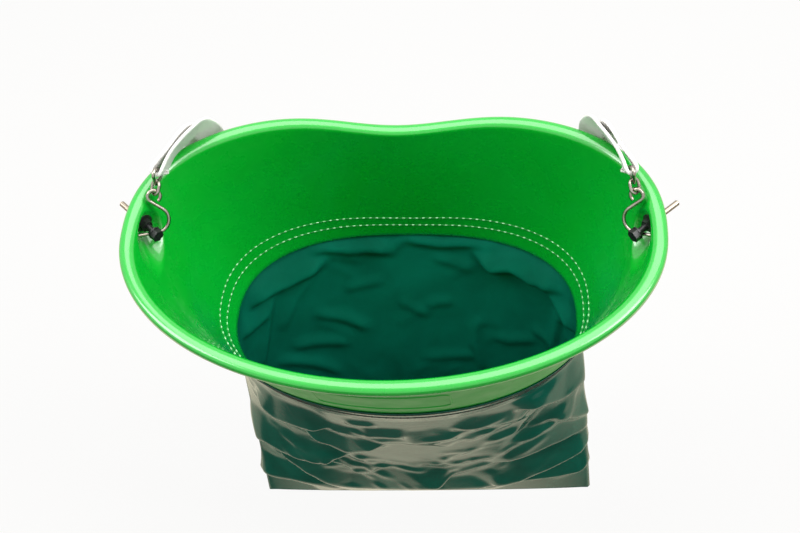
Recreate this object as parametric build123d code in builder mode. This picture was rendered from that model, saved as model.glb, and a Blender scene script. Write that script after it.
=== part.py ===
from build123d import *
import os
from math import atan2, copysign, cos, cosh, degrees, exp, hypot, pi, radians, sin

# Harvest basket, in millimetres. The origin is the middle of the rim's top plane:
# +X to the picker's left-hand bolt, +Y to the picker's body, +Z up.

# Kidney-shaped rim, measured on the outside of the lip
rim_half_width = 232.0
rim_centre_y = 12.0
rim_front = 150.0
rim_back = 136.0
rim_dip = 18.5
dip_spread = 78.0
back_power = 2.5
kidney_steps = 32

# Lip rolled outwards round the top of the wall
lip_overhang = 9.0
lip_height = 8.0
lip_skin = 3.0
lip_round = 4.0

# Flared wall, open at the foot
wall = 3.0
shell_height = 160.0
foot_half_width = 162.0
foot_centre_y = 18.0
foot_front = 101.0
foot_back = 102.0

# Fabric bag sewn round the outside of the foot
bag_skin = 1.5
bag_gap = 0.4
bag_overlap = 33.0
bag_drop = 280.0
bag_fold_half_width = 172.0
bag_fold_y = -28.0
bag_fold_half_thick = 5.0
bag_steps = 72
bag_levels = 8

# Main folds of the bag's front, each from one point to another across it and down its drop
fold_height = 7.0
fold_spread = 18.0
front_folds = [
    ((-161.0, 62.0), (-46.0, 157.0)),
    ((-165.0, 171.0), (-71.0, 262.0)),
    ((172.0, 162.0), (74.0, 148.0)),
    ((74.0, 148.0), (-37.0, 250.0)),
]

# Two rows of stitches through the wall and the bag
upper_row_height = 29.5
lower_row_height = 18.0
stitch_pitch = 6.4
stitch_length = 3.6
stitch_width = 1.1
stitch_thick = 0.8
stitch_gap = 0.35

# Bolt on each side, level, turned back from the side towards the picker
bolt_inset = 26.5
bolt_head_y = 23.5
bolt_depth = 20.0
bolt_turn = 42.0
shank_radius = 3.0
tail_radius = 2.5
tail_length = 22.0
tail_chamfer = 0.6
head_flats = 10.0
head_height = 5.0
flange_radius = 5.9
flange_height = 1.4
hook_room = 9.0
hook_shift = 2.4
nut_flats = 10.0
nut_height = 5.0
washer_radius = 8.5
washer_height = 1.2
bolt_play = 0.2
thread_play = 0.05

# Pocket pressed out of the wall, with a floor square to the bolt
pocket_floor_radius = 11.5
pocket_mouth_radius = 20.0

# S-hook on the shank
hook_wire = 1.6
hook_play = 0.3
hook_tip = 16.0
hook_seat = 6.0
bowl_radius = 12.0
bowl_turn = 140.0
leg_length = 13.0
eye_radius = 5.5
eye_turn = 286.0
hook_up = Vector(0.01, 0.57, 0.82)
hook_side = Vector(0.92, -0.33, 0.22)

# Oval link and triangular strap ring
link_wire = 1.4
link_length = 9.5
link_width = 6.4
link_tilt = 28.0
ring_wire = 1.5
ring_bar = 33.0
ring_reach = 15.0
ring_bend = 4.2
ring_tilt = 58.0
chain_play = 0.45
ring_way = Vector(-0.2, 0.74, 0.64)

# Webbing strap, looped through both rings and hanging behind the shell
strap_width = 25.0
strap_thick = 3.0
bight_radius = 4.3
bight_slack = 1.0
bight_width = 13.5
strap_bottom_z = -400.0
strap_back_y = 145.0
strap_sag = 64.0
sag_half_span = 142.0
sag_steps = 6
tack_width = 18.0
tack_length = 20.0
tack_thread = 1.0
tack_gap = 0.15


def mix(start, end, share):
    """Value at a share of the way from start to end."""
    return start + (end - start) * share


def wall_sizes(depth, grow=0.0):
    """Half width, centre, front, back and dip of the wall's outer line at a depth below the rim."""
    share = depth / shell_height
    return (
        mix(rim_half_width - lip_overhang, foot_half_width, share) + grow,
        mix(rim_centre_y, foot_centre_y, share),
        mix(rim_front - lip_overhang, foot_front, share) + grow,
        mix(rim_back - lip_overhang, foot_back, share) + grow,
        mix(rim_dip, 0.0, share),
    )


def rim_sizes(grow=0.0):
    """The same five sizes for the outside of the lip."""
    return rim_half_width + grow, rim_centre_y, rim_front + grow, rim_back + grow, rim_dip


def kidney_point(half_width, centre_y, front, back, dip, turn):
    """Point of the kidney line: an ellipse in front, a squarer curve behind that dips in the middle."""
    if sin(turn) < 0:
        return half_width * cos(turn), centre_y + front * sin(turn)
    across = copysign(abs(cos(turn)) ** (2 / back_power), cos(turn))
    dent = dip * exp(-((across * rim_half_width / dip_spread) ** 2))
    return half_width * across, centre_y + back * sin(turn) ** (2 / back_power) - dent


def kidney(*sizes):
    """Draw one closed kidney line."""
    turns = [2 * pi * step / kidney_steps for step in range(kidney_steps)]
    Spline(*[kidney_point(*sizes, turn) for turn in turns], periodic=True)


def kidney_face(height, *sizes):
    """Flat kidney face at a height."""
    with BuildSketch(Plane.XY.offset(height)) as face:
        with BuildLine():
            kidney(*sizes)
        make_face()
    return face.sketch


def kidney_loft(levels):
    """Solid through kidney lines, given as a height and its five sizes."""
    with BuildPart() as form:
        for height, sizes in levels:
            add(kidney_face(height, *sizes))
        loft(ruled=True)
    return form.part


# Places along the bolt, counted from the middle of its head
head_end = head_height / 2
shank_start = head_end + flange_height
nut_start = shank_start + hook_room
inner_washer_start = nut_start + nut_height
floor_start = inner_washer_start + washer_height
floor_end = floor_start + wall
outer_nut_start = floor_end + washer_height
tail_start = outer_nut_start + nut_height
bolt_way = Vector(cos(radians(bolt_turn)), sin(radians(bolt_turn)), 0)
head_centre = Vector(rim_half_width - bolt_inset, bolt_head_y, -bolt_depth)


def bolt_plane(along):
    """Plane square to the right-hand bolt, at a distance along it from the middle of its head."""
    return Plane(origin=head_centre + bolt_way * along, x_dir=(0, 0, 1), z_dir=bolt_way)


def pocket_cone(floor, grow):
    """Right-hand pocket's cone down to a floor, grown outwards for the wall round it."""
    with BuildPart() as cone:
        with BuildSketch(bolt_plane(0)):
            Circle(pocket_mouth_radius + grow)
        with BuildSketch(bolt_plane(floor)):
            Circle(pocket_floor_radius + grow)
        loft()
    return cone.part


def both_sides(solid):
    """The right-hand solid and its mirror image on the left."""
    return [solid, solid.mirror(Plane.YZ)]


# Shell: flared wall, hollow lip and two bolt pockets in one moulding
flared_wall = kidney_loft([(-lip_skin, wall_sizes(lip_skin)), (-shell_height, wall_sizes(shell_height))])
cavity = kidney_loft([(0, wall_sizes(0, -wall)), (-shell_height, wall_sizes(shell_height, -wall))])
pockets = both_sides(pocket_cone(floor_start, 0))

with BuildPart() as pocket_bosses:
    add(both_sides(pocket_cone(floor_end, wall)))
    with BuildSketch(Plane.XY.offset(-lip_skin)):
        Rectangle(4 * rim_half_width, 4 * rim_half_width)
    extrude(amount=pocket_mouth_radius, mode=Mode.SUBTRACT)

with BuildPart() as bolt_hole:
    with BuildSketch(bolt_plane(0)):
        Circle(shank_radius + bolt_play)
    extrude(amount=tail_start)

with BuildPart() as shell:
    add(kidney_face(-lip_height, *rim_sizes()))
    extrude(amount=lip_height)
    add(kidney_face(-lip_height, *rim_sizes(-lip_skin)))
    extrude(amount=lip_height - lip_skin, mode=Mode.SUBTRACT)
    add(flared_wall)
    add(pocket_bosses.part)
    add(cavity, mode=Mode.SUBTRACT)
    fillet(shell.edges().group_by(Axis.Z)[-1], radius=lip_round)
    add(pockets, mode=Mode.SUBTRACT)
    add(both_sides(bolt_hole.part), mode=Mode.SUBTRACT)

# Bag: a tapering fabric tube, open at the top and folded flat at its lower end
hem_depth = shell_height - bag_overlap


def fold_push(x, drop):
    """How far the main folds push the bag's front outwards at a point of it."""
    push = 0.0
    for (start_x, start_drop), (end_x, end_drop) in front_folds:
        run_x, run_drop = end_x - start_x, end_drop - start_drop
        along = ((x - start_x) * run_x + (drop - start_drop) * run_drop) / (run_x**2 + run_drop**2)
        along = min(max(along, 0.0), 1.0)
        away = hypot(x - start_x - run_x * along, drop - start_drop - run_drop * along)
        push = max(push, fold_height * exp(-((away / fold_spread) ** 2)))
    return push


def bag_face(depth, grow, fold_lift):
    """Cross-section of the bag at a depth below the rim, at a distance from the shell's wall."""
    share = max(depth - shell_height, 0.0) / bag_drop
    half_thick = bag_fold_half_thick + grow - bag_gap - bag_skin
    fold_sizes = (bag_fold_half_width + grow - bag_gap - bag_skin, bag_fold_y, half_thick, half_thick, 0.0)
    outline = []
    for step in range(bag_steps):
        turn = 2 * pi * step / bag_steps
        wall_x, wall_y = kidney_point(*wall_sizes(min(depth, shell_height), grow), turn)
        fold_x, fold_y = kidney_point(*fold_sizes, turn)
        x, y = mix(wall_x, fold_x, share), mix(wall_y, fold_y, share)
        if 0 < share < 1 and sin(turn) < 0:
            y -= fold_push(x, share * bag_drop) * min(1.0, -4 * sin(turn))
        outline.append((x, y))
    with BuildSketch(Plane.XY.offset(share * fold_lift - depth)) as face:
        with BuildLine():
            Spline(*outline, periodic=True)
        make_face()
    return face.sketch


def bag_form(grow, fold_lift):
    """Bag's form at a distance from the shell's wall, with its fold lifted by the fabric."""
    with BuildPart() as form:
        add(bag_face(hem_depth, grow, fold_lift))
        for level in range(bag_levels + 1):
            add(bag_face(shell_height + bag_drop * level / bag_levels, grow, fold_lift))
        loft(ruled=True)
    return form.part


with BuildPart() as bag:
    add(bag_form(bag_gap + bag_skin, 0))
    add(bag_form(bag_gap, bag_skin), mode=Mode.SUBTRACT)


wall_inside = cavity.faces().sort_by(SortBy.AREA)[-1]


def stitch_row(row_height):
    """Row of short bars lying on the wall's inside, at a height above the foot."""
    depth = shell_height - row_height
    row = kidney_face(-depth, *wall_sizes(depth, -wall)).face().outer_wire()
    count = round(row.length / stitch_pitch)
    places = []
    for number in range(count):
        share = (number + 0.5) / count
        spot = wall_inside.closest_points(row.position_at(share))[0]
        outwards = wall_inside.normal_at(spot)
        middle = spot - outwards * (stitch_gap + stitch_thick / 2)
        places.append(Plane(middle, x_dir=row.tangent_at(share), z_dir=outwards).location)
    with BuildPart() as stitches:
        with Locations(*places):
            Box(stitch_length, stitch_width, stitch_thick)
    return stitches


upper_stitches = stitch_row(upper_row_height)
lower_stitches = stitch_row(lower_row_height)

# Bolt: hexagonal flanged head inside, plain tail outside the shell
with BuildPart() as right_bolt:
    with BuildSketch(bolt_plane(-head_height / 2)):
        RegularPolygon(head_flats / 2, 6, major_radius=False)
    extrude(amount=head_height)
    with BuildSketch(bolt_plane(head_end)):
        Circle(flange_radius)
    extrude(amount=flange_height)
    with BuildSketch(bolt_plane(shank_start)):
        Circle(shank_radius)
    extrude(amount=tail_start - shank_start)
    with BuildSketch(bolt_plane(tail_start)):
        Circle(tail_radius)
    extrude(amount=tail_length)
    chamfer(right_bolt.edges().sort_by(Axis(head_centre, bolt_way))[-1], tail_chamfer)


def washer_at(along):
    """Flat washer on the right-hand bolt."""
    with BuildPart() as washer:
        with BuildSketch(bolt_plane(along)):
            Circle(washer_radius)
            Circle(shank_radius + bolt_play, mode=Mode.SUBTRACT)
        extrude(amount=washer_height)
    return washer


def nut_at(along):
    """Hexagonal nut on the right-hand bolt."""
    with BuildPart() as nut:
        with BuildSketch(bolt_plane(along)):
            RegularPolygon(nut_flats / 2, 6, major_radius=False)
            Circle(shank_radius + thread_play, mode=Mode.SUBTRACT)
        extrude(amount=nut_height)
    return nut


right_inner_nut = nut_at(nut_start)
right_inner_washer = washer_at(inner_washer_start)
right_outer_washer = washer_at(floor_end)
right_outer_nut = nut_at(outer_nut_start)

# S-hook: its lower bowl holds the shank, its upper eye is closed round the link
hook_x = hook_side.normalized()
hook_z = hook_x.cross(hook_up).normalized()
hook_y = hook_z.cross(hook_x)
seat_reach = hook_wire + shank_radius + hook_play
seat_rise = seat_reach * hook_x.cross(bolt_way).length / abs(bolt_way.dot(hook_z))
hook_ride = head_centre + bolt_way * (shank_start + hook_room / 2 + hook_shift)
hook_origin = hook_ride - hook_x * hook_seat - hook_y * seat_rise
hook_plane = Plane(origin=hook_origin, x_dir=hook_x, z_dir=hook_z)
leg_angle = 180 - bowl_turn
leg_x, leg_y = cos(radians(leg_angle)), sin(radians(leg_angle))
leg_start = (-bowl_radius * leg_y, bowl_radius * (1 + leg_x))
leg_end = (leg_start[0] + leg_length * leg_x, leg_start[1] + leg_length * leg_y)
eye_centre = (leg_end[0] - eye_radius * leg_y, leg_end[1] + eye_radius * leg_x)

with BuildPart() as right_s_hook:
    with BuildLine(hook_plane) as hook_path:
        Line((hook_tip, 0), (0, 0))
        CenterArc((0, bowl_radius), bowl_radius, 270, -bowl_turn)
        Line(leg_start, leg_end)
        CenterArc(eye_centre, eye_radius, leg_angle - 90, eye_turn)
    with BuildSketch(Plane(origin=hook_path.wires()[0] @ 0, z_dir=hook_path.wires()[0] % 0)):
        Circle(hook_wire)
    sweep(path=hook_path.wires()[0])

# Link: threads the hook's eye and the ring's apex
eye = hook_plane.from_local_coords(eye_centre)
chain_way = ring_way.normalized()
eye_way = (chain_way - hook_z * chain_way.dot(hook_z)).normalized()
eye_wire = eye + eye_way * eye_radius
link_across = eye_way.cross(hook_z)
link_across = (link_across - chain_way * link_across.dot(chain_way)).normalized()
apex_reach = link_length - hook_wire - ring_wire - 2 * chain_play
apex = eye_wire + chain_way * apex_reach
link_middle = eye_wire + chain_way * (link_length / 2 - hook_wire - chain_play)


def tilted(angle):
    """Direction across the chain, turned back about it."""
    return link_across.rotate(Axis((0, 0, 0), chain_way), -angle)


def closed_wire(plane, corners, radii, wire):
    """Round wire bent to a closed loop with rounded corners."""
    with BuildPart() as loop:
        with BuildLine(plane) as path:
            FilletPolyline(*corners, radius=radii, close=True)
        route = path.wires()[0]
        with BuildSketch(Plane(origin=route @ 0, z_dir=route % 0)):
            Circle(wire)
        sweep(path=route)
    return loop


link_plane = Plane(origin=link_middle, x_dir=chain_way, z_dir=tilted(link_tilt))
link_half = link_length / 2 + link_wire
link_side = link_width / 2 + link_wire
link_corners = [
    (-link_half, -link_side),
    (link_half, -link_side),
    (link_half, link_side),
    (-link_half, link_side),
]
right_link = closed_wire(link_plane, link_corners, link_side * 0.98, link_wire)

# Strap ring: a wire triangle whose long bar holds the strap
half_bar = ring_bar / 2
apex_set = ring_bend * (1 / sin(atan2(half_bar, ring_reach)) - 1)
ring_corner = apex - chain_way * apex_set
bar_way = tilted(ring_tilt)
bar_middle = ring_corner + chain_way * ring_reach
ring_plane = Plane(origin=ring_corner, x_dir=chain_way, z_dir=chain_way.cross(bar_way))
ring_corners = [(0, 0), (ring_reach, half_bar), (ring_reach, -half_bar)]
right_strap_ring = closed_wire(ring_plane, ring_corners, ring_bend, ring_wire)

# Strap: one length of webbing with both ends folded round the rings' bars and sewn down.
# Each station of the right-hand half is a point on its middle line, counted from the middle of the
# bolt's head, and the way its width lies.
tail_leg = [
    ((-30.5, 110.1, -30.0), (-0.79, 0.61, 0.0)),
    ((-25.0, 103.5, -4.0), (-0.79, 0.61, 0.0)),
    ((-21.0, 96.0, 16.0), (-0.80, 0.50, 0.30)),
    ((-18.0, 87.0, 31.0), (-0.50, 0.15, 0.82)),
    ((-14.0, 76.5, 35.5), (-0.38, -0.05, 0.92)),
    ((-8.0, 61.5, 37.0), (-0.25, -0.30, 0.90)),
]
main_leg = [
    ((-14.5, 63.5, 37.0), (-0.25, -0.30, 0.90)),
    ((-24.5, 81.0, 36.0), (-0.38, -0.05, 0.92)),
    ((-30.5, 95.0, 29.0), (-0.50, 0.15, 0.82)),
    ((-34.7, 101.9, 14.0), (-0.80, 0.50, 0.30)),
    ((-35.5, 106.9, -5.0), (-0.79, 0.61, 0.0)),
    ((-38.5, 112.5, -40.0), (-0.75, 0.66, 0.0)),
    ((-47.5, 117.5, -90.0), (-0.40, 0.92, 0.0)),
]
strap_way = Vector(-0.3, 0.92, 0.24).normalized()
bight_middle = bar_middle - strap_way * bight_slack
bight_plane = Plane(origin=bight_middle, x_dir=strap_way, z_dir=bar_way)
bight = []
for angle in (270, 225, 180, 135, 90):
    spot = Vector(cos(radians(angle)), sin(radians(angle))) * bight_radius
    bight.append((bight_plane.from_local_coords(spot), bar_way))
hanging = []
for step in range(sag_steps + 1):
    x = sag_half_span * (1 - step / sag_steps)
    z = strap_bottom_z + strap_sag * (cosh(x / strap_sag) - 1)
    hanging.append(((x, strap_back_y, z), (0.0, 1.0, 0.0)))
legs = []
for leg in (tail_leg, main_leg):
    legs.append([(head_centre + Vector(*offset), across) for offset, across in leg])
right_half = legs[0] + bight + legs[1] + hanging
points = [Vector(*point) for point, across in right_half]
acrosses = [Vector(*across) for point, across in right_half]
widths = [strap_width] * len(tail_leg) + [bight_width] * len(bight)
widths += [strap_width] * (len(points) - len(widths))


def strap_plane(number):
    """Plane across the strap at one station of its right-hand half."""
    before = points[max(number - 1, 0)]
    after = points[number + 1] if number + 1 < len(points) else Vector(-before.X, before.Y, before.Z)
    return Plane(origin=points[number], x_dir=acrosses[number], z_dir=(after - before).normalized())


planes = [strap_plane(number) for number in range(len(points))]
with BuildPart() as half_strap:
    for plane, width in zip(planes, widths):
        with BuildSketch(plane):
            Rectangle(width, strap_thick)
    loft(ruled=True)

with BuildPart() as carrying_strap:
    add(half_strap.part)
    mirror(half_strap.part, about=Plane.YZ)

# Tack: the sewn box and cross that holds the folded-back end down
tack_low, tack_high = [plane.from_local_coords((0, -strap_thick / 2 - tack_gap)) for plane in planes[:2]]
tack_plane = Plane(
    origin=(tack_low + tack_high) / 2,
    x_dir=acrosses[0],
    z_dir=acrosses[0].cross(tack_high - tack_low),
)
tack_diagonal = hypot(tack_width - tack_thread, tack_length - tack_thread)
tack_angle = degrees(atan2(tack_length, tack_width))
with BuildPart() as right_strap_tack:
    with BuildSketch(tack_plane):
        Rectangle(tack_width, tack_length)
        Rectangle(tack_width - 2 * tack_thread, tack_length - 2 * tack_thread, mode=Mode.SUBTRACT)
        for turn in (tack_angle, -tack_angle):
            Rectangle(tack_diagonal, tack_thread, rotation=turn)
    extrude(amount=tack_thread)

right_side = {
    "bolt": right_bolt,
    "inner_nut": right_inner_nut,
    "inner_washer": right_inner_washer,
    "outer_washer": right_outer_washer,
    "outer_nut": right_outer_nut,
    "s_hook": right_s_hook,
    "link": right_link,
    "strap_ring": right_strap_ring,
    "strap_tack": right_strap_tack,
}
pieces = {
    "shell": shell.part,
    "bag": bag.part,
    "upper_stitches": upper_stitches.part,
    "lower_stitches": lower_stitches.part,
    "carrying_strap": carrying_strap.part,
}
for name, piece in right_side.items():
    pieces["right_" + name] = piece.part
    with BuildPart() as left_piece:
        mirror(piece.part, about=Plane.YZ)
    pieces["left_" + name] = left_piece.part

os.makedirs("parts", exist_ok=True)
for name, solid in pieces.items():
    solid.label = name
    export_step(solid, f"parts/{name}.step")
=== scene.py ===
from math import cosh, pi

import bpy
import numpy as np
from mathutils import Matrix, Vector


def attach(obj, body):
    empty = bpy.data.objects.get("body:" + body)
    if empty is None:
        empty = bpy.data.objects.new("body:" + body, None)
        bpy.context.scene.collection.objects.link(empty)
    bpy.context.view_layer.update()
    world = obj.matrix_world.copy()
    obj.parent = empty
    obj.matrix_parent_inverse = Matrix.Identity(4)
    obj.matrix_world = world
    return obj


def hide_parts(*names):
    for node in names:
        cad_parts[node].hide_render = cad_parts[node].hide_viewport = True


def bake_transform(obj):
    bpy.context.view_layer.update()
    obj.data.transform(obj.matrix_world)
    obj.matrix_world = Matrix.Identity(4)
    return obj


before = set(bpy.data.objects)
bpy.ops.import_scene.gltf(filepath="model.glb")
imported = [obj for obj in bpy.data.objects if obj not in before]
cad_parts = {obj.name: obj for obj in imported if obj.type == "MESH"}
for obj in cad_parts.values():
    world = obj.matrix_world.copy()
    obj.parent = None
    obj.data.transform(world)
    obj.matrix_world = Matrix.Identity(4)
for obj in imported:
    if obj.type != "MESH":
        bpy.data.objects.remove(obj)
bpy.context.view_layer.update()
scene = bpy.context.scene
scene.view_settings.view_transform = "Standard"

# Forms are written in millimetres, and materials, lights and camera in metres
mm = 0.001

# Each side's name and the sign of its x
sides = (("left", -1), ("right", 1))

# Kidney lines: half width, middle, reach to the front, reach to the back, dip in the back
rim = (232.0, 12.0, 150.0, 136.0, 18.5)
foot = (162.0, 18.0, 101.0, 102.0, 0.0)
dip_spread, back_power = 78.0, 2.5

# Sizes of the solids
wall, shell_height = 3.0, 160.0
lip_overhang, lip_height, lip_skin = 9.0, 8.0, 3.0
bag_grow, bag_overlap, bag_drop = 1.15, 33.0, 280.0
fold_half_width, fold_y, fold_shift, fold_skew = 174.0, -25.5, 4.0, 5.0
bolt_head = np.array((205.5, 23.5, -20.0))
bolt_way = np.array((0.743145, 0.669131, 0.0))
strap_width, strap_thick, bight_width = 25.0, 3.0, 13.5


# Forms

def kidney(turns, half, middle, front, back, dip):
    """Points of the kidney line at the given turns."""
    c, s = np.cos(turns), np.sin(turns)
    across = np.sign(c) * np.abs(c) ** (2 / back_power)
    dent = dip * np.exp(-((across * rim[0] / dip_spread) ** 2))
    behind = middle + back * np.abs(s) ** (2 / back_power) - dent
    x = np.where(s < 0, half * c, half * across)
    return x, np.where(s < 0, middle + front * s, behind)


def wall_sizes(depth, grow=0.0):
    """Sizes of the wall's outer line at a depth below the rim."""
    share = depth / shell_height
    half, middle, front, back, dip = (a + (b - a) * share for a, b in zip(rim, foot))
    shy = grow - lip_overhang * (1 - share)
    return half + shy, middle, front + shy, back + shy, dip


def wall_ring(turns, depth, grow, height=None):
    """Ring of points on the wall, at its own height or another."""
    x, y = kidney(turns, *wall_sizes(depth, grow))
    return np.stack([x, y, np.full_like(x, -depth if height is None else height)], axis=1)


def even_turns(start, end, count, depth, grow=0.0):
    """Turns that are evenly far apart along the wall's line at a depth, and the line's length."""
    samples = 12001
    dense = np.linspace(start, end, samples)
    x, y = kidney(dense, *wall_sizes(depth, grow))
    arc = np.concatenate([[0], np.cumsum(np.hypot(np.diff(x), np.diff(y)))])
    return np.interp(np.arange(count) / count * arc[-1], arc, dense), arc[-1]


def grid_faces(rows, columns, close_rows=False):
    """Quads of a grid of points, counted row by row, in which each row is a ring."""
    faces = []
    for row in range(rows if close_rows else rows - 1):
        here, there = row * columns, (row + 1) % rows * columns
        for column in range(columns):
            after = (column + 1) % columns
            faces.append((here + column, here + after, there + after, there + column))
    return faces


def new_mesh(name, points, faces):
    """Smooth mesh of points in millimetres."""
    mesh = bpy.data.meshes.new(name)
    mesh.from_pydata((np.asarray(points) * mm).tolist(), [], faces)
    mesh.update()
    mesh.shade_smooth()
    return mesh


def new_piece(name, mesh, slot, *materials, finish=None, body="root", nodes=()):
    """Object that rides on a body and stands for CAD nodes; finish numbers the material of each face."""
    piece = bpy.data.objects.new(name, mesh)
    scene.collection.objects.link(piece)
    for material in materials:
        mesh.materials.append(material)
    if finish is not None:
        mesh.polygons.foreach_set("material_index", finish)
    if body:
        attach(piece, body)
    if nodes:
        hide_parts(*nodes)
    return piece


def unit(vectors):
    """Vectors brought to length one."""
    return vectors / np.linalg.norm(vectors, axis=-1, keepdims=True)


def join(parts):
    """One list of points and faces out of several."""
    points, faces, start = [], [], 0
    for part_points, part_faces in parts:
        points.append(part_points)
        faces += [tuple(start + corner for corner in face) for face in part_faces]
        start += len(part_points)
    return np.concatenate(points), faces


def beads(middles, alongs, outs, size):
    """Rounded thread stitches of one length, width and height, lying on a surface."""
    length, width, height = size
    rings, count = 7, 8
    tip, bluntness = 0.08, 0.6
    turns = np.arange(count) * 2 * pi / count
    faces = grid_faces(rings, count)
    faces += [tuple(range(count)), tuple(reversed(range((rings - 1) * count, rings * count)))]
    parts = []
    for middle, along, out in zip(middles, alongs, outs):
        across = np.cross(out, along)
        points = []
        for way in np.linspace(0, pi, rings):
            girth = max(np.sin(way), tip) ** bluntness
            for turn in turns:
                offset = along * (np.cos(way) * length / 2)
                offset = offset + across * (np.cos(turn) * girth * width / 2)
                points.append(middle + offset + out * (np.sin(turn) * girth * height / 2))
        parts.append((np.array(points), faces))
    return join(parts)


def strand(path, radius):
    """Thin round thread along a closed line of points."""
    count = 6
    ahead = unit(np.roll(path, -1, axis=0) - np.roll(path, 1, axis=0))
    side = unit(np.cross(ahead, (0.0, 0.0, 1.0)))
    top = np.cross(side, ahead)
    turns = np.arange(count) * 2 * pi / count
    points = []
    for spot, across, up in zip(path, side, top):
        points += [spot + radius * (np.cos(turn) * across + np.sin(turn) * up) for turn in turns]
    return np.array(points), grid_faces(len(path), count, close_rows=True)


def through(values, steps):
    """Smooth run through values, with as many steps between each two."""
    values = np.asarray(values, float)
    padded = np.concatenate([2 * values[:1] - values[1:2], values, 2 * values[-1:] - values[-2:-1]])
    run = []
    for a, b, c, d in zip(padded, padded[1:], padded[2:], padded[3:]):
        square, cube = 2 * a - 5 * b + 4 * c - d, 3 * b - a - 3 * c + d
        run += [0.5 * (2 * b + (c - a) * t + square * t**2 + cube * t**3) for t in np.arange(steps) / steps]
    return np.array(run + [values[-1]])


# Material nodes

def new_material(name, colour, roughness, **sockets):
    """Principled material and its node tree and shader."""
    material = bpy.data.materials.new(name)
    material.use_nodes = True
    tree = material.node_tree
    shader = tree.nodes["Principled BSDF"]
    shader.inputs["Base Color"].default_value = (*colour, 1)
    shader.inputs["Roughness"].default_value = roughness
    for socket, value in sockets.items():
        shader.inputs[socket.replace("_", " ")].default_value = value
    return material, tree, shader


def noise(tree, scale, detail, stretch=(1, 1, 1), distortion=0.0):
    """Noise over the object's own coordinates, in features per metre."""
    coordinates = tree.nodes.new("ShaderNodeTexCoord")
    mapping = tree.nodes.new("ShaderNodeMapping")
    mapping.inputs["Scale"].default_value = stretch
    texture = tree.nodes.new("ShaderNodeTexNoise")
    texture.inputs["Scale"].default_value = scale
    texture.inputs["Detail"].default_value = detail
    texture.inputs["Distortion"].default_value = distortion
    tree.links.new(coordinates.outputs["Object"], mapping.inputs["Vector"])
    tree.links.new(mapping.outputs["Vector"], texture.inputs["Vector"])
    return texture.outputs["Fac"]


def tint(tree, shader, factor, dark, light, start=0.3, end=0.7):
    """Colour that runs from dark to light as a factor goes from start to end."""
    ramp = tree.nodes.new("ShaderNodeValToRGB")
    for element, position, colour in zip(ramp.color_ramp.elements, (start, end), (dark, light)):
        element.position = position
        element.color = (*colour, 1)
    tree.links.new(factor, ramp.inputs["Fac"])
    tree.links.new(ramp.outputs["Color"], shader.inputs["Base Color"])


def spread(tree, factor, socket, low, high, start=0.3, end=0.7, interpolation="LINEAR"):
    """Socket that runs from low to high as a factor goes from start to end, and the same as a factor."""
    span = tree.nodes.new("ShaderNodeMapRange")
    span.interpolation_type = interpolation
    span.inputs["From Min"].default_value = start
    span.inputs["From Max"].default_value = end
    span.inputs["To Min"].default_value = low
    span.inputs["To Max"].default_value = high
    tree.links.new(factor, span.inputs["Value"])
    tree.links.new(span.outputs["Result"], socket)
    return span.outputs["Result"]


def bump(tree, shader, height, strength, distance):
    """Bump laid over any bump that the shader has already."""
    node = tree.nodes.new("ShaderNodeBump")
    node.inputs["Strength"].default_value = strength
    node.inputs["Distance"].default_value = distance
    tree.links.new(height, node.inputs["Height"])
    if shader.inputs["Normal"].links:
        tree.links.new(shader.inputs["Normal"].links[0].from_socket, node.inputs["Normal"])
    tree.links.new(node.outputs["Normal"], shader.inputs["Normal"])


def combine(tree, operation, first, second):
    """Factor that a math node makes of two factors."""
    node = tree.nodes.new("ShaderNodeMath")
    node.operation = operation
    tree.links.new(first, node.inputs[0])
    tree.links.new(second, node.inputs[1])
    return node.outputs["Value"]


def weave(tree, around, along):
    """Over-and-under pattern from the strap's own coordinates."""
    coordinates = tree.nodes.new("ShaderNodeTexCoord")
    waves = []
    for direction, scale in (("X", along), ("Y", around)):
        wave = tree.nodes.new("ShaderNodeTexWave")
        wave.wave_type = "BANDS"
        wave.bands_direction = direction
        wave.inputs["Scale"].default_value = scale
        tree.links.new(coordinates.outputs["UV"], wave.inputs["Vector"])
        waves.append(wave.outputs["Fac"])
    return combine(tree, "MULTIPLY", *waves)


def clear_rays(tree):
    """Camera rays alone, and camera, glossy and transmission rays together."""
    rays = tree.nodes.new("ShaderNodeLightPath").outputs
    either = combine(tree, "MAXIMUM", rays["Is Camera Ray"], rays["Is Glossy Ray"])
    return rays["Is Camera Ray"], combine(tree, "MAXIMUM", either, rays["Is Transmission Ray"])


# Materials

def plastic(name, colour, roughness, tints, gloss, **sockets):
    """Moulded plastic with slight mottling, uneven gloss and a fine grain."""
    material, tree, shader = new_material(name, colour, roughness, Specular_IOR_Level=0.5, **sockets)
    tint(tree, shader, noise(tree, 9, 3), *tints)
    spread(tree, noise(tree, 55, 5), shader.inputs["Roughness"], *gloss)
    bump(tree, shader, noise(tree, 260, 2), 0.02, 0.0004)
    return material


def yarn(name, colour, roughness, tints, mottle, stretch=(1, 1, 1), **sockets):
    """Thread with uneven dye and a rough twist."""
    material, tree, shader = new_material(name, colour, roughness, **sockets)
    tint(tree, shader, noise(tree, mottle, 3), *tints)
    bump(tree, shader, noise(tree, 2500, 2, stretch), 0.4, 0.0003)
    return material


def steel(name, colour, roughness, tints, gloss, stains=160, polish=300, pits=1200, depth=0.1, **sockets):
    """Metal with stains, uneven polish and fine pits."""
    material, tree, shader = new_material(name, colour, roughness, **sockets)
    tint(tree, shader, noise(tree, stains, 5), *tints)
    spread(tree, noise(tree, polish, 4), shader.inputs["Roughness"], *gloss)
    bump(tree, shader, noise(tree, pits, 3), depth, 0.0002)
    return material


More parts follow.
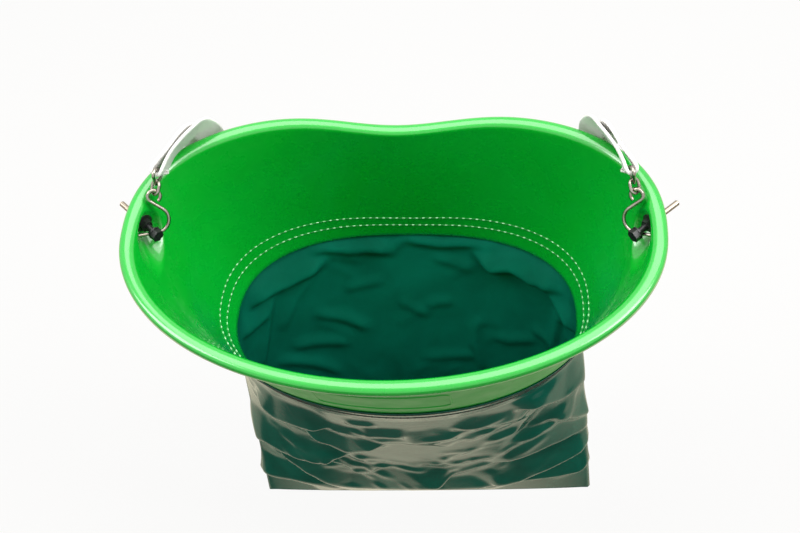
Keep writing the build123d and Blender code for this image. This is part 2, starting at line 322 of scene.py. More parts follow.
def bolt_material(side, sign):
    """Black head and shank that give way to bare metal on the tail."""
    tail_start, tail_fade = 0.019, 0.002
    material, tree, shader = new_material(f"{side}_bolt_finish", (0.02, 0.02, 0.02), 0.32)
    coordinates = tree.nodes.new("ShaderNodeTexCoord")
    along = tree.nodes.new("ShaderNodeVectorMath")
    along.operation = "DOT_PRODUCT"
    along.inputs[1].default_value = bolt_way * (sign, 1, 1)
    tree.links.new(coordinates.outputs["Object"], along.inputs[0])
    start = float(np.dot(bolt_head, bolt_way)) * mm + tail_start
    metal = shader.inputs["Metallic"]
    bare = spread(tree, along.outputs["Value"], metal, 0.0, 1.0, start, start + tail_fade)
    tint(tree, shader, bare, (0.012, 0.012, 0.013), (0.34, 0.29, 0.23), 0.2, 0.8)
    spread(tree, noise(tree, 300, 4), shader.inputs["Roughness"], 0.24, 0.42)
    bump(tree, shader, noise(tree, 1200, 3), 0.08, 0.0002)
    return material


shell_plastic = plastic(
    "shell_plastic", (0.001, 0.42, 0.024), 0.27, [(0.0005, 0.4, 0.02), (0.0015, 0.44, 0.028)], (0.22, 0.34),
    Coat_Weight=1.0, Coat_Roughness=0.12, Coat_IOR=1.6,
)
# Painted shade: the outer wall and its raised border take a darker, matte copy of the shell's green plastic
shaded_matte_shell = plastic(
    "shaded_matte_shell", (0.001, 0.3, 0.02), 0.45, [(0.0005, 0.34, 0.018), (0.0015, 0.38, 0.026)], (0.4, 0.5),
)

bag_outside, tree, shader = new_material("bag_outside", (0.001, 0.08, 0.05), 0.14, IOR=1.38)
tint(tree, shader, noise(tree, 22, 5, distortion=0.6), (0.0005, 0.066, 0.041), (0.001, 0.098, 0.062))
spread(tree, noise(tree, 40, 4), shader.inputs["Roughness"], 0.1, 0.18)
bump(tree, shader, noise(tree, 85, 6, distortion=0.8), 0.12, 0.0012)
bump(tree, shader, noise(tree, 1500, 1), 0.1, 0.0002)

bag_inside, tree, shader = new_material("bag_inside", (0.001, 0.12, 0.078), 0.7, Specular_IOR_Level=0.05)
tint(tree, shader, noise(tree, 16, 5, distortion=0.5), (0.0003, 0.09, 0.056), (0.001, 0.138, 0.09))
bump(tree, shader, noise(tree, 70, 5, distortion=0.6), 0.25, 0.0016)
bump(tree, shader, noise(tree, 1500, 1), 0.2, 0.0003)

webbing, tree, shader = new_material("webbing", (0.89, 0.87, 0.83), 0.75, Sheen_Weight=0.2)
tint(tree, shader, noise(tree, 60, 5), (0.86, 0.845, 0.8), (0.91, 0.9, 0.87))
bump(tree, shader, weave(tree, 1.6, 0.28), 0.6, 0.0008)
bump(tree, shader, noise(tree, 900, 3), 0.3, 0.0003)

thread = yarn(
    "thread", (0.5, 0.86, 0.55), 0.55, [(0.36, 0.74, 0.42), (0.6, 0.92, 0.64)], 300, (1, 1, 3),
    Sheen_Weight=0.2,
)
# The strand that joins the inside beads is a darker green than the beads
dark_strand_thread = yarn(
    "dark_strand_thread", (0.02, 0.25, 0.06), 0.6, [(0.008, 0.16, 0.03), (0.03, 0.3, 0.08)], 400,
)
dark_thread = yarn(
    "dark_thread", (0.03, 0.022, 0.014), 0.6, [(0.016, 0.012, 0.008), (0.05, 0.038, 0.024)], 400,
)
strap_thread = yarn(
    "strap_thread", (0.72, 0.68, 0.58), 0.6, [(0.62, 0.58, 0.48), (0.78, 0.75, 0.66)], 300,
    Sheen_Weight=0.2,
)

wire_steel = steel(
    "wire_steel", (0.36, 0.33, 0.28), 0.2, [(0.28, 0.25, 0.2), (0.44, 0.41, 0.36)], (0.16, 0.32),
    stains=120, polish=260, pits=900, depth=0.08, Metallic=1.0,
)
zinc_steel = steel(
    "zinc_steel", (0.58, 0.57, 0.54), 0.34, [(0.46, 0.45, 0.42), (0.66, 0.65, 0.63)], (0.28, 0.45),
    Metallic=1.0,
)
black_steel = steel(
    "black_steel", (0.015, 0.015, 0.015), 0.35, [(0.008, 0.009, 0.009), (0.022, 0.023, 0.022)], (0.28, 0.45),
)

# Finishes of the CAD nodes that stay in view
finishes = {
    "inner_nut": black_steel, "inner_washer": black_steel,
    "outer_washer": zinc_steel, "outer_nut": zinc_steel,
    "s_hook": wire_steel, "link": wire_steel, "strap_ring": wire_steel,
}
for side, sign in sides:
    for piece_name, material in {**finishes, "bolt": bolt_material(side, sign)}.items():
        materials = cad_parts[f"{side}_{piece_name}"].data.materials
        materials.clear()
        materials.append(material)

# Shell: one moulding, its profile carried round the kidney line
around, even_depth = 520, 60.0
lip_rise, lip_power, lip_steps = 5.5, 0.7, 20
lip_edge, soft_edge = 0.5, 0.8
pocket_floor, pocket_mouth, pocket_flat, pocket_softness = 19.1, 20.0, 11.5, 2.2
pocket_reach, pocket_fade, pocket_spare, pocket_side = 28.0, 8.0, 4.0, 120.0

# Rows of the wall lie closer together down to this depth, where the pockets are
dense_depth = 48.0
foot_depth = shell_height - soft_edge
inside_depths = [*np.linspace(foot_depth, dense_depth, 30), *np.linspace(dense_depth - 2, lip_rise, 22)]
outside_depths = [*np.linspace(lip_skin + 2, dense_depth, 24), *np.linspace(dense_depth + 3, foot_depth, 28)]

# Profile: depth on the wall, height and growth of each row, up the inside, over the lip and down the outside
profile = [(depth, -depth, -wall) for depth in inside_depths]
inside_rows = len(profile) + lip_steps // 2
lip_middle, lip_half = (lip_overhang - wall) / 2, (lip_overhang + wall) / 2
for turn in np.linspace(pi, 0, lip_steps + 1)[1:]:
    z = lip_rise * np.abs(np.sin(turn)) ** lip_power - lip_rise
    profile.append((-z if turn > pi / 2 else 0.0, z, lip_middle + lip_half * np.cos(turn)))
lip_inside = lip_overhang - lip_skin
profile += [
    (0.0, -lip_height + lip_edge, lip_overhang), (0.0, -lip_height, lip_overhang - lip_edge),
    (0.0, -lip_height, lip_inside + lip_edge), (0.0, -lip_height + lip_edge, lip_inside),
    (0.0, -lip_skin - soft_edge, lip_inside), (0.0, -lip_skin, lip_inside - soft_edge),
]
outside_row = len(profile)
profile += [(lip_skin, -lip_skin, soft_edge), (lip_skin, -lip_skin - soft_edge, 0.0)]
profile += [(depth, -depth, 0.0) for depth in outside_depths]
profile += [(shell_height, -shell_height, grow) for grow in (-soft_edge, -wall + soft_edge)]


def press_pocket(ring, sign, skin):
    """Dish round one bolt, pressed into a ring of the wall along the bolt."""
    way = bolt_way * (sign, 1, 1)
    offset = ring - bolt_head * (sign, 1, 1)
    along = offset @ way
    radius = np.linalg.norm(offset - along[:, None] * way, axis=1)
    bottom = pocket_floor + skin
    slope = bottom / (pocket_mouth - pocket_flat)
    target = np.minimum(slope * (pocket_mouth + skin - radius), bottom)
    soft = 0.5 * (along + target + np.sqrt((along - target) ** 2 + pocket_softness))
    near = (ring[:, 0] * sign > pocket_side) & (along < bottom + pocket_spare)
    fade = np.clip((pocket_reach - radius) / pocket_fade, 0, 1) * near
    ring += ((soft - along) * fade)[:, None] * way


shell_turns, _ = even_turns(0, 2 * pi, around, even_depth)
rings = [wall_ring(shell_turns, depth, grow, z) for depth, z, grow in profile]
for number, ring in enumerate(rings):
    for sign in (1, -1):
        press_pocket(ring, sign, 0.0 if number < inside_rows else wall)
shell_faces = grid_faces(len(rings), around, close_rows=True)
# Faces from the outer row on get the darker copy, the outer wall's painted shade
shell_shaded_faces = np.repeat(np.arange(len(rings)) >= outside_row, around).astype(int)
new_piece(
    "moulded_shell", new_mesh("shell_form", np.concatenate(rings), shell_faces), "shell_plastic",
    shell_plastic, shaded_matte_shell, finish=shell_shaded_faces, nodes=["shell"],
)

# Raised border on the front wall
border_left, border_right, border_top, border_bottom, border_corner = -64.0, 52.0, 62.0, 106.0, 7.0
corner_points, border_step = 9, 3.0
bead_section = [(-1.3, -0.3), (-1.0, 0.25), (-0.5, 0.6), (0.0, 0.7), (0.5, 0.6), (1.0, 0.25), (1.3, -0.3)]


def front_point(x, depth, grow=0.0):
    """Point of the front wall's outside."""
    half, middle, front, _, _ = wall_sizes(depth, grow)
    return np.array((x, middle - front * np.sqrt(1 - (x / half) ** 2), -depth))


corner_left, corner_right = border_left + border_corner, border_right - border_corner
corner_top, corner_bottom = border_top + border_corner, border_bottom - border_corner
outline = []
for x, depth, start in (
    (corner_right, corner_top, -pi / 2), (corner_right, corner_bottom, 0.0),
    (corner_left, corner_bottom, pi / 2), (corner_left, corner_top, pi),
):
    for turn in np.linspace(start, start + pi / 2, corner_points):
        outline.append((x + border_corner * np.cos(turn), depth + border_corner * np.sin(turn)))
flat = []
for here, there in zip(outline, outline[1:] + outline[:1]):
    steps = max(1, int(np.hypot(there[0] - here[0], there[1] - here[1]) / border_step))
    flat += [np.add(here, np.subtract(there, here) * step / steps) for step in range(steps)]
line = np.array([front_point(x, depth) for x, depth in flat])
lift = unit(np.array([front_point(x, depth, 1.0) for x, depth in flat]) - line)
ahead = unit(np.roll(line, -1, axis=0) - np.roll(line, 1, axis=0))
sideways = unit(np.cross(ahead, lift))
bead_rows = [line + sideways * aside + lift * height for aside, height in bead_section]
bead_faces = grid_faces(len(bead_rows), len(line), close_rows=True)
bead_mesh = new_mesh("frame_form", np.concatenate(bead_rows), bead_faces)
# The raised border carries the outer wall's painted shade too
new_piece("moulded_frame", bead_mesh, "shell_plastic", shaded_matte_shell)

# Bag: a cloth tube outside the foot, sculpted in folds between its hem and its flat lower end
half_count, hem_rows, drop_rows = 178, 12, 124
bag_rows, bag_columns = hem_rows + drop_rows, 2 * half_count
fold_half_thick, panel_gap, cloth_thick = 3.5, 1.0, 0.9
back_turns, back_length = even_turns(0, pi, half_count, shell_height, bag_grow)
front_turns, front_length = even_turns(pi, 2 * pi, half_count, shell_height, bag_grow)
bag_turns = np.concatenate([back_turns, front_turns])

share = np.arange(half_count) / half_count
swell = fold_half_thick * np.sin(pi * share) ** 0.5
fold_x = fold_shift + fold_half_width * np.concatenate([1 - 2 * share, 2 * share - 1])
fold_middle = fold_y + fold_skew * fold_x / fold_half_width
fold_z = -shell_height - bag_drop
fold = np.stack([fold_x, fold_middle + np.concatenate([swell, -swell]), np.full(bag_columns, fold_z)], axis=1)
hem_depths = np.linspace(shell_height - bag_overlap, shell_height, hem_rows)
bag_rings = [wall_ring(bag_turns, depth, bag_grow) for depth in hem_depths]
top_ring = bag_rings[-1]
bag_rings += [top_ring + (fold - top_ring) * step / drop_rows for step in range(1, drop_rows + 1)]
bag_points = np.stack(bag_rings)

bag_faces = [face[::-1] for face in grid_faces(bag_rows, bag_columns)]
last = (bag_rows - 1) * bag_columns
for step in range(half_count):
    ring = [step, step + 1, bag_columns - step - 1, (bag_columns - step) % bag_columns]
    bag_faces.append(tuple(dict.fromkeys(last + corner for corner in ring)))

# Creases: height, width above and width below, then points as shares along the panel and down it
front_creases = [
    (12.0, 36.0, 5.0, [(0.11, 0.17), (0.185, 0.22), (0.24, 0.19), (0.31, 0.16), (0.34, 0.15)]),
    (4.0, 18.0, 6.0, [(0.30, 0.16), (0.35, 0.186), (0.415, 0.214), (0.46, 0.28)]),
    (8.0, 28.0, 5.0, [(0.23, 0.26), (0.30, 0.34), (0.335, 0.40), (0.36, 0.385), (0.45, 0.28)]),
    (2.5, 10.0, 4.0, [(0.20, 0.18), (0.235, 0.236), (0.26, 0.279), (0.295, 0.30)]),
    (15.0, 42.0, 4.0, [
        (0.0, 0.60), (0.085, 0.543), (0.165, 0.55), (0.225, 0.536), (0.265, 0.529), (0.33, 0.47),
    ]),
    (3.5, 11.0, 4.0, [(0.29, 0.51), (0.35, 0.429), (0.38, 0.371), (0.45, 0.28)]),
    (13.0, 36.0, 5.0, [
        (0.075, 0.545), (0.12, 0.607), (0.155, 0.671), (0.195, 0.757), (0.225, 0.83), (0.27, 1.0),
    ]),
    (12.0, 34.0, 5.0, [(-0.03, 0.84), (0.05, 0.864), (0.11, 0.85), (0.155, 0.90), (0.18, 1.02)]),
    (5.0, 16.0, 5.0, [
        (0.22, 0.53), (0.265, 0.579), (0.305, 0.614), (0.325, 0.70), (0.355, 0.75), (0.40, 0.87),
    ]),
    (3.0, 10.0, 4.0, [(0.35, 0.70), (0.39, 0.614), (0.43, 0.605)]),
    (19.0, 60.0, 4.0, [(0.27, 1.03), (0.41, 0.92), (0.485, 0.843), (0.56, 0.743), (0.60, 0.69)]),
    (3.0, 12.0, 8.0, [(0.375, 0.074), (0.445, 0.054)]),
    (4.5, 22.0, 10.0, [(0.40, 0.172), (0.455, 0.164), (0.51, 0.164)]),
    (4.0, 34.0, 14.0, [(0.49, 0.24), (0.57, 0.229), (0.63, 0.18)]),
    (4.0, 25.0, 10.0, [(0.61, 0.09), (0.70, 0.15), (0.78, 0.17)]),
    (2.5, 12.0, 8.0, [(0.64, 0.29), (0.675, 0.236), (0.715, 0.217)]),
    (2.5, 12.0, 8.0, [(0.69, 0.36), (0.735, 0.314), (0.78, 0.297)]),
    (2.0, 8.0, 5.0, [(0.545, 0.59), (0.59, 0.48)]),
    (12.0, 34.0, 5.0, [(0.75, 0.09), (0.805, 0.079), (0.86, 0.143), (0.90, 0.157), (0.98, 0.22)]),
    (8.0, 24.0, 8.0, [(0.85, 0.30), (0.935, 0.421), (1.02, 0.50)]),
    (8.0, 56.0, 4.0, [(1.03, 0.57), (0.925, 0.536), (0.85, 0.529), (0.785, 0.557), (0.69, 0.615)]),
    (3.0, 9.0, 4.0, [(0.74, 0.58), (0.66, 0.643), (0.54, 0.765)]),
    (13.0, 38.0, 6.0, [(1.03, 0.64), (0.895, 0.686), (0.825, 0.729), (0.76, 0.793), (0.66, 0.86)]),
    (9.0, 28.0, 6.0, [
        (1.03, 0.76), (0.975, 0.829), (0.895, 0.836), (0.79, 0.82), (0.69, 0.85), (0.57, 0.87),
    ]),
    (11.0, 34.0, 5.0, [(0.72, 0.84), (0.59, 0.90), (0.43, 1.0)]),
    (2.5, 9.0, 5.0, [(0.675, 0.83), (0.72, 0.686), (0.75, 0.62)]),
    (-3.5, 14.0, 16.0, [(0.87, 0.16), (0.82, 0.264), (0.775, 0.357), (0.745, 0.507), (0.72, 0.60)]),
]
back_creases = [
    (-13.0, 28.0, 7.0, [(0.93, 0.07), (0.805, 0.107), (0.74, 0.10), (0.69, 0.06)]),
    (-8.0, 22.0, 6.0, [(0.98, 0.12), (0.915, 0.164), (0.85, 0.175)]),
    (-6.0, 14.0, 8.0, [(0.935, 0.37), (0.885, 0.243), (0.86, 0.164), (0.83, 0.10)]),
    (-8.0, 14.0, 6.0, [(0.76, 0.02), (0.69, 0.036), (0.64, 0.057), (0.60, 0.057), (0.53, 0.075)]),
    (-4.0, 8.0, 6.0, [(0.56, 0.08), (0.51, 0.015)]),
    (-7.0, 10.0, 6.0, [(0.54, 0.02), (0.435, 0.043), (0.355, 0.03), (0.27, 0.02)]),
    (-15.0, 26.0, 7.0, [(0.37, 0.045), (0.315, 0.107), (0.265, 0.082), (0.21, 0.10), (0.11, 0.05)]),
    (-10.0, 22.0, 7.0, [(0.20, 0.07), (0.12, 0.136), (0.05, 0.145)]),
    (-6.0, 12.0, 8.0, [(0.15, 0.36), (0.13, 0.186), (0.13, 0.09)]),
    (-4.0, 12.0, 8.0, [(0.84, 0.28), (0.79, 0.186), (0.735, 0.115)]),
    (-3.0, 9.0, 5.0, [(0.67, 0.197), (0.57, 0.176)]),
    (-3.0, 9.0, 5.0, [(0.48, 0.267), (0.405, 0.254)]),
    (-4.0, 11.0, 6.0, [(0.76, 0.26), (0.675, 0.307), (0.615, 0.36)]),
    (-4.0, 11.0, 6.0, [(0.83, 0.36), (0.745, 0.379), (0.665, 0.404)]),
    (-3.5, 10.0, 6.0, [(0.32, 0.366), (0.27, 0.379), (0.19, 0.338)]),
    (-4.0, 9.0, 9.0, [(0.35, 0.30), (0.355, 0.414), (0.33, 0.52)]),
    (-3.0, 9.0, 6.0, [(0.46, 0.088), (0.415, 0.107), (0.36, 0.125)]),
    (-3.0, 9.0, 6.0, [(0.71, 0.058), (0.61, 0.097)]),
    (-3.5, 10.0, 6.0, [(0.215, 0.30), (0.14, 0.325)]),
    (-3.0, 10.0, 6.0, [(0.50, 0.474), (0.34, 0.454)]),
    (-3.5, 10.0, 6.0, [(0.885, 0.38), (0.755, 0.471), (0.70, 0.52)]),
    (-2.5, 9.0, 6.0, [(0.545, 0.25), (0.465, 0.31)]),
]
panel_width = 390.0
back_height, back_narrowness = 1.15, 0.65
crease_taper, crease_limit = 0.18, 60.0
hem_fade, fold_fade = 0.03, 0.05
hang = np.clip(np.arange(bag_rows) - hem_rows + 1, 0, None) / drop_rows


def crease_field(creases, taller=1.0, narrower=1.0):
    """Relief that creases give to one panel, each a ridge that falls away on both sides."""
    spots = np.stack(np.meshgrid(share * panel_width, hang * bag_drop), axis=-1)
    peaks, dents = np.zeros(spots.shape[:2]), np.zeros(spots.shape[:2])
    for height, above, below, marks in creases:
        marks = np.array(marks) * (panel_width, bag_drop)
        lengths = np.linalg.norm(np.diff(marks, axis=0), axis=1)
        whole, gone = lengths.sum(), 0.0
        nearest, relief = np.full(peaks.shape, np.inf), np.zeros(peaks.shape)
        for start, end, length in zip(marks, marks[1:], lengths):
            run = (end - start) / length
            along = np.clip((spots - start) @ run, 0, length)
            offset = spots - start - along[:, :, None] * run
            away = np.linalg.norm(offset, axis=2)
            upward = np.array((run[1], -run[0])) * (1 if run[0] >= 0 else -1)
            width = np.where(offset @ upward > 0, above, narrower * below)
            place = gone + along
            taper = np.clip(np.minimum(place, whole - place) / (crease_taper * whole), 0, 1)
            ridge = taller * height * taper * np.clip(1 - away / width, 0, 1)
            relief = np.where(away < nearest, ridge, relief)
            nearest = np.minimum(nearest, away)
            gone += length
        peaks, dents = np.maximum(peaks, relief), np.minimum(dents, relief)
    return peaks + dents


# Ranges of the small creases: place along the panel and down it, slope, half length, bend and both widths
small_across, small_down, small_slope = (0.04, 0.96), (0.05, 0.94), (-0.1, 0.9)
small_half, small_bend, small_above, small_below = (10, 34), (-4, 4), (6, 13), (3, 7)
slope_turn = 0.55
random = np.random.default_rng(11)


def small_creases(count, lowest, highest, sense):
    """Relief of short creases at random places, running down towards the middle of the panel."""
    relief = np.zeros((bag_rows, half_count))
    for _ in range(count):
        middle = np.array((random.uniform(*small_across), random.uniform(*small_down)))
        slope = random.uniform(*small_slope) * (1 if middle[0] < slope_turn else -1)
        run = random.uniform(*small_half) * np.array((np.cos(slope), np.sin(slope)))
        half = run / (panel_width, bag_drop)
        bend = random.uniform(*small_bend) * np.array((0.0, 1 / bag_drop))
        height = random.uniform(lowest, highest) * sense
        above, below = random.uniform(*small_above), random.uniform(*small_below)
        relief += crease_field([(height, above, below, [middle - half, middle + bend, middle + half])])
    return relief


back_relief = crease_field(back_creases, back_height, back_narrowness)
back_relief += small_creases(45, lowest=0.6, highest=1.8, sense=-1)
front_relief = crease_field(front_creases)
front_relief += small_creases(80, lowest=0.7, highest=2.2, sense=1)
slack = np.clip(hang / hem_fade, 0, 1) * np.clip((1 - hang) / fold_fade, 0, 1)
relief = np.concatenate([back_relief, front_relief], axis=1) * slack[:, None]
relief = np.minimum(relief, crease_limit * (1 - hang[:, None]))
for axis in (0, 1, 0, 1):
    relief = relief / 2 + (np.roll(relief, 1, axis=axis) + np.roll(relief, -1, axis=axis)) / 4
around_way = np.roll(bag_points, -1, axis=1) - np.roll(bag_points, 1, axis=1)
outward = unit(np.cross(np.gradient(bag_points, axis=0), around_way))
bag_points = bag_points + relief[:, :, None] * outward

# Below the hem each panel keeps to its own side, and nothing hangs lower than the fold
middle_y = (foot[1] + (fold_middle - foot[1]) * hang[:, None])[hem_rows:]
back_y, front_y = bag_points[hem_rows:, :half_count, 1], bag_points[hem_rows:, half_count:, 1]
np.maximum(back_y, middle_y[:, :half_count] + panel_gap, out=back_y)
np.minimum(front_y, middle_y[:, half_count:] - panel_gap, out=front_y)
bag_points[:, :, 2] = np.maximum(bag_points[:, :, 2], fold_z)

sheet = bpy.data.objects.new("bag_shape", new_mesh("bag_form", bag_points.reshape(-1, 3), bag_faces))
scene.collection.objects.link(sheet)
for material in (bag_outside, bag_inside):
    sheet.data.materials.append(material)
skin = sheet.modifiers.new("skin", "SOLIDIFY")
skin.thickness = cloth_thick * mm
skin.offset = 0.0
skin.material_offset = 1
bag_mesh = bpy.data.meshes.new_from_object(sheet.evaluated_get(bpy.context.evaluated_depsgraph_get()))
bpy.data.objects.remove(sheet)
bag_mesh.shade_smooth()
fabric = new_piece("fabric_bag", bag_mesh, "bag_fabric", nodes=["bag"])

# The cut cloth: as wide as the foot's girth and as long as hem and drop
girth, length = (back_length + front_length) * mm, (bag_overlap + bag_drop) * mm

# Stitches: beads of thread inside the wall and outside the bag, with the sunk strand between them
stitch_rows = {"upper_stitches": 29.5, "lower_stitches": 18.0}
stitch_pitch, stitch_size = 6.4, (2.9, 1.3, 1.1)
strand_radius, strand_lift, strand_points = 0.35, 0.1, 3
inside_gap, outside_gap = 0.15, 0.6
for name, row_height in stitch_rows.items():
    depth = shell_height - row_height
    parts, finish = [], []
    for grow, sense, bead_finish, strand_finish in (
        (-wall - inside_gap, -1, 0, 1), (bag_grow + outside_gap, 1, 2, 2),
    ):
        _, length = even_turns(0, 2 * pi, 1, depth, grow)
        count = round(length / stitch_pitch)
        turns, _ = even_turns(0, 2 * pi, count, depth, grow)
        fine, _ = even_turns(0, 2 * pi, strand_points * count, depth, grow)
        middles = wall_ring(turns, depth, grow)
        outs = unit(wall_ring(turns, depth, grow + sense) - middles)
        alongs = unit(np.roll(middles, -1, axis=0) - np.roll(middles, 1, axis=0))
        bead_part = beads(middles, alongs, outs, stitch_size)
        strand_part = strand(wall_ring(fine, depth, grow + strand_lift * sense), strand_radius)
        parts += [bead_part, strand_part]
        finish += [bead_finish] * len(bead_part[1]) + [strand_finish] * len(strand_part[1])
    mesh = new_mesh(name + "_form", *join(parts))
    new_piece(
        name + "_thread", mesh, "thread", thread, dark_strand_thread, dark_thread, finish=finish, nodes=[name],
    )

# Strap: webbing through stations, each a point and the direction across the strap there
tail_leg = [
    ((175.0, 133.6, -50.0), (-0.79, 0.61, 0.0)),
    ((180.5, 127.0, -24.0), (-0.79, 0.61, 0.0)),
    ((184.5, 119.5, -4.0), (-0.80, 0.50, 0.30)),
    ((187.5, 110.5, 11.0), (-0.50, 0.15, 0.82)),
    ((191.5, 100.0, 15.5), (-0.38, -0.05, 0.92)),
    ((197.5, 85.0, 17.0), (-0.25, -0.30, 0.90)),
]
main_leg = [
    ((191.0, 87.0, 17.0), (-0.25, -0.30, 0.90)),
    ((181.0, 104.5, 16.0), (-0.38, -0.05, 0.92)),
    ((175.0, 118.5, 9.0), (-0.50, 0.15, 0.82)),
    ((170.8, 125.4, -6.0), (-0.80, 0.50, 0.30)),
    ((170.0, 130.4, -25.0), (-0.79, 0.61, 0.0)),
    ((167.0, 136.0, -60.0), (-0.75, 0.66, 0.0)),
    ((158.0, 141.0, -110.0), (-0.40, 0.92, 0.0)),
]

# The bight goes round the ring's bar, with room to swing
bar_middle = np.array((201.846, 66.93, 17.797))
bar_way = np.array((0.1041, -0.6344, 0.766))
strap_way = unit(np.array((-0.3, 0.92, 0.24)))
bight_radius, bight_shift, bight_lift = 4.3, -0.2, 0.4
bight_x = unit(strap_way - bar_way * np.dot(strap_way, bar_way))
bight_y = np.cross(bar_way, bight_x)
bight_middle = bar_middle + bight_shift * bight_x + bight_lift * bight_y
bight = []
for turn in np.radians((270, 225, 180, 135, 90)):
    spot = bight_middle + bight_radius * (np.cos(turn) * bight_x + np.sin(turn) * bight_y)
    bight.append((tuple(spot), tuple(bar_way)))

# The loop behind the shell hangs in a catenary
loop_half, loop_y, loop_bottom, loop_curve, loop_steps = 142.0, 145.0, -400.0, 64.0, 6
hanging = []
for step in range(loop_steps + 1):
    x = loop_half * (1 - step / loop_steps)
    z = loop_bottom + loop_curve * (cosh(x / loop_curve) - 1)
    hanging.append(((x, loop_y, z), (0.0, 1.0, 0.0)))

# The strap's pieces are cut from one run, from the right tail to a little past the left end of the loop
right_end = tail_leg + bight + main_leg
left_half = [((-x, y, z), (-ax, ay, az)) for (x, y, z), (ax, ay, az) in hanging[-2::-1] + main_leg[:-3:-1]]
strap_stations = right_end + hanging + left_half
strap_widths = [strap_width] * len(tail_leg) + [bight_width] * len(bight)
strap_widths += [strap_width] * (len(strap_stations) - len(strap_widths))
end_station, far_station = len(right_end) - 1, len(strap_stations) - 2


def ribbon(name, first, last, mirrored=False):
    """Flat webbing with rounded edges, from one station of the strap to another."""
    steps, edge_round, half, sharp_angle = 7, 0.7, strap_thick / 2, 1.0
    line = through([point for point, across in strap_stations], steps)
    across = through([across for point, across in strap_stations], steps)
    width = through([[w] for w in strap_widths], steps)[:, 0]
    if mirrored:
        line, across = line * (-1, 1, 1), across * (-1, 1, 1)
    ahead = unit(np.gradient(line, axis=0))
    kept = slice(first * steps, last * steps + 1)
    line, across, width, ahead = line[kept], across[kept], width[kept], ahead[kept]
    across = unit(across - ahead * np.sum(across * ahead, axis=1, keepdims=True))
    out = np.cross(ahead, across)

    # Section: share of the flat half width, share of the edge's rounding, height
    flats = np.linspace(-1, 1, 9)
    rounds = [(edge_round * np.sin(turn), np.cos(turn)) for turn in np.linspace(0, pi, 6)[1:-1]]
    section = [(f, 0.0, 1.0) for f in flats] + [(1, r, h) for r, h in rounds]
    section += [(f, 0.0, -1.0) for f in flats[::-1]] + [(-1, -r, -h) for r, h in rounds]
    points = []
    for p, a, o, w in zip(line, across, out, width):
        reach = w / 2 - edge_round * half
        points += [p + a * (f * reach + r * half) + o * (h * half) for f, r, h in section]
    count = len(section)
    faces = grid_faces(len(line), count)
    faces += [tuple(range(count))[::-1], tuple(range(len(points) - count, len(points)))]
    mesh = new_mesh(name + "_form", points, faces)

    # The weave's coordinates are millimetres along the strap and across it
    lengths = np.concatenate([[0], np.cumsum(np.linalg.norm(np.diff(line, axis=0), axis=1))])
    places = np.array([f * strap_width / 2 for f, r, h in section])
    corners = np.empty(len(mesh.loops), int)
    mesh.loops.foreach_get("vertex_index", corners)
    spots = np.stack([lengths[corners // count], places[corners % count]], axis=1)
    mesh.uv_layers.new(name="weave").data.foreach_set("uv", spots.ravel())
    mesh.set_sharp_from_angle(angle=sharp_angle)
    return mesh


# Two points, in metres, near each end's hook, mirrored for the left end
hold_start, hold_end = (0.181, 0.115, 0.010), (0.199, 0.078, 0.018)
for side, sign in sides:
    name = f"{side}_strap_end"
    mesh = ribbon(name, 0, end_station, mirrored=sign < 0)
    end = new_piece(name, mesh, "webbing", webbing, body=None, nodes=["carrying_strap"])
    start, stop = ((sign * x, y, z) for x, y, z in (hold_start, hold_end))
    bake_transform(end)
back_mesh = ribbon("strap_back", end_station, far_station)
new_piece("strap_back", back_mesh, "webbing", webbing, nodes=["carrying_strap"])

# Tack: the sewn box and cross on each end of the strap
tack_half_width, tack_half_length, tack_gap = 9.0, 10.0, 0.1
tack_pitch, tack_size = 3.2, (2.7, 0.9, 0.8)
low, high = np.array(tail_leg[0][0]), np.array(tail_leg[1][0])
tack_along = unit(high - low)
tack_across = unit(np.array(tail_leg[0][1]))
tack_across = unit(tack_across - tack_along * np.dot(tack_across, tack_along))
tack_out = np.cross(tack_across, tack_along)
tack_centre = (low + high) / 2 + tack_out * (strap_thick / 2 + tack_gap)
tack_corners = np.array([(-1, -1), (1, -1), (1, 1), (-1, 1)]) * (tack_half_width, tack_half_length)
spots, ways = [], []
for first, second in ((0, 1), (1, 2), (2, 3), (3, 0), (0, 2), (1, 3)):
    run = tack_corners[second] - tack_corners[first]
    count = round(np.linalg.norm(run) / tack_pitch)
    for step in range(count):
        u, v = tack_corners[first] + run * (step + 0.5) / count
        spots.append(tack_centre + tack_across * u + tack_along * v)
        ways.append(unit(tack_across * run[0] + tack_along * run[1]))
for side, sign in sides:
    flip = np.array((sign, 1, 1))
    outs = np.array([tack_out * flip] * len(spots))
    points, faces = beads(np.array(spots) * flip, np.array(ways) * flip, outs, tack_size)
    mesh = new_mesh(f"{side}_tack_form", points, faces)
    new_piece(f"{side}_tack_thread", mesh, "strap_thread", strap_thread, nodes=[f"{side}_strap_tack"])

# Floor: white to the camera, and in reflections a painted pool of bright warm light that ends in front of the
# part, dark beyond it
floor_z, floor_half, floor_glow = -0.62, 6.0, 0.85
pool_front, pool_back = -0.24, -0.13
pool_dark, pool_bright, white = (0.04, 0.06, 0.045, 1), (1.0, 0.9, 0.66, 1), (1, 1, 1, 1)
floor_corners = [(x * floor_half, y * floor_half, floor_z) for x, y in ((-1, -1), (1, -1), (1, 1), (-1, 1))]
floor_mesh = bpy.data.meshes.new("floor")
floor_mesh.from_pydata(floor_corners, [], [(0, 1, 2, 3)])
floor = bpy.data.objects.new("floor", floor_mesh)
scene.collection.objects.link(floor)


def colour_mix(tree, second):
    """Node that goes over to a second colour by a factor."""
    node = tree.nodes.new("ShaderNodeMix")
    node.data_type = "RGBA"
    node.inputs["B"].default_value = second
    return node


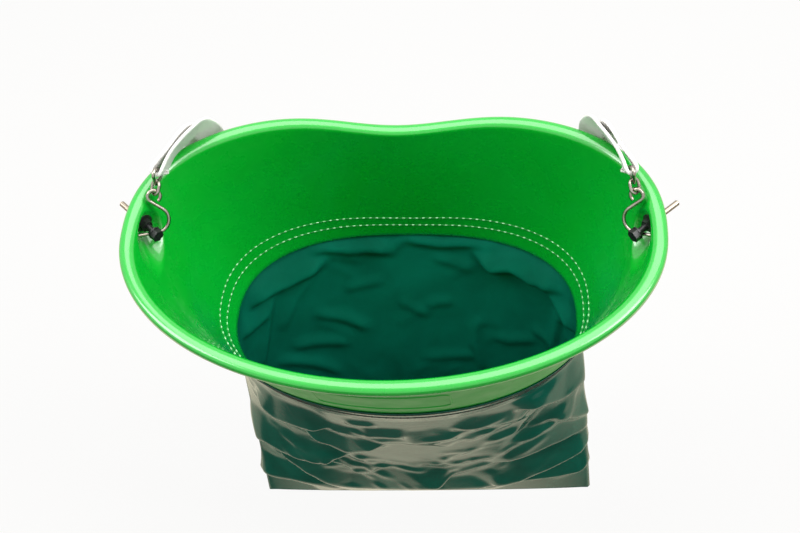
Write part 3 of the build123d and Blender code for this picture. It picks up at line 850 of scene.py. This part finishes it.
pale, tree, shader = new_material("pale_floor", (0.66, 0.64, 0.6), 0.9)
camera_ray, any_clear = clear_rays(tree)
geometry = tree.nodes.new("ShaderNodeNewGeometry")
split = tree.nodes.new("ShaderNodeSeparateXYZ")
tree.links.new(geometry.outputs["Position"], split.inputs["Vector"])
# Painted reflection: the pool's warm and dark colours reach only glossy and transmission rays
pool = colour_mix(tree, pool_bright)
pool.inputs["A"].default_value = pool_dark
spread(tree, split.outputs["Y"], pool.inputs["Factor"], 0.0, 1.0, pool_front, pool_back, "SMOOTHSTEP")
glow_colour = colour_mix(tree, white)
tree.links.new(pool.outputs["Result"], glow_colour.inputs["A"])
tree.links.new(camera_ray, glow_colour.inputs["Factor"])
glow = tree.nodes.new("ShaderNodeEmission")
tree.links.new(glow_colour.outputs["Result"], glow.inputs["Color"])
mixed = tree.nodes.new("ShaderNodeMixShader")
spread(tree, any_clear, mixed.inputs["Fac"], 0.0, floor_glow, 0.0, 1.0)
tree.links.new(shader.outputs["BSDF"], mixed.inputs[1])
tree.links.new(glow.outputs["Emission"], mixed.inputs[2])
tree.links.new(mixed.outputs["Shader"], tree.nodes["Material Output"].inputs["Surface"])
floor_mesh.materials.append(pale)

# World: white where it is seen, and a dim fill where it only lights
world_fill = 0.36
world = bpy.data.worlds.new("studio")
scene.world = world
world.use_nodes = True
backdrop = world.node_tree.nodes["Background"]
backdrop.inputs["Color"].default_value = white
_, any_clear = clear_rays(world.node_tree)
spread(world.node_tree, any_clear, backdrop.inputs["Strength"], world_fill, 1.0, 0.0, 1.0)


# Lamps

def soft_light(name, place, aim, size, power):
    """Large rectangular lamp that looks at a point."""
    lamp = bpy.data.lights.new(name, "AREA")
    lamp.shape = "RECTANGLE"
    lamp.size, lamp.size_y = size
    lamp.energy = power
    light = bpy.data.objects.new(name, lamp)
    light.location = place
    light.rotation_euler = (Vector(aim) - Vector(place)).to_track_quat("-Z", "Y").to_euler()
    scene.collection.objects.link(light)


soft_light("overhead", place=(0.1, 0.45, 1.45), aim=(0.0, 0.1, 0.0), size=(1.9, 1.5), power=29.0)
soft_light("left_fill", place=(-1.5, -0.2, 1.5), aim=(0.0, 0.0, -0.05), size=(1.0, 1.0), power=24.0)
soft_light("right_fill", place=(1.5, -0.2, 1.5), aim=(0.0, 0.0, -0.05), size=(1.0, 1.0), power=28.0)

# Camera at the photograph's angle
camera_place = (0.1349, -0.6385, 0.9695)
look = Vector((-0.1064, 0.5341, -0.8387)).normalized()
right = Vector((0.9943, 0.0597, -0.0881))
right = (right - look * right.dot(look)).normalized()
lens = bpy.data.cameras.new("camera")
lens.sensor_fit = "HORIZONTAL"
lens.sensor_width = 36
lens.lens = 63
camera = bpy.data.objects.new("camera", lens)
scene.collection.objects.link(camera)
turned = Matrix((right, right.cross(look), -look)).transposed().to_4x4()
camera.matrix_world = Matrix.Translation(camera_place) @ turned
scene.camera = camera
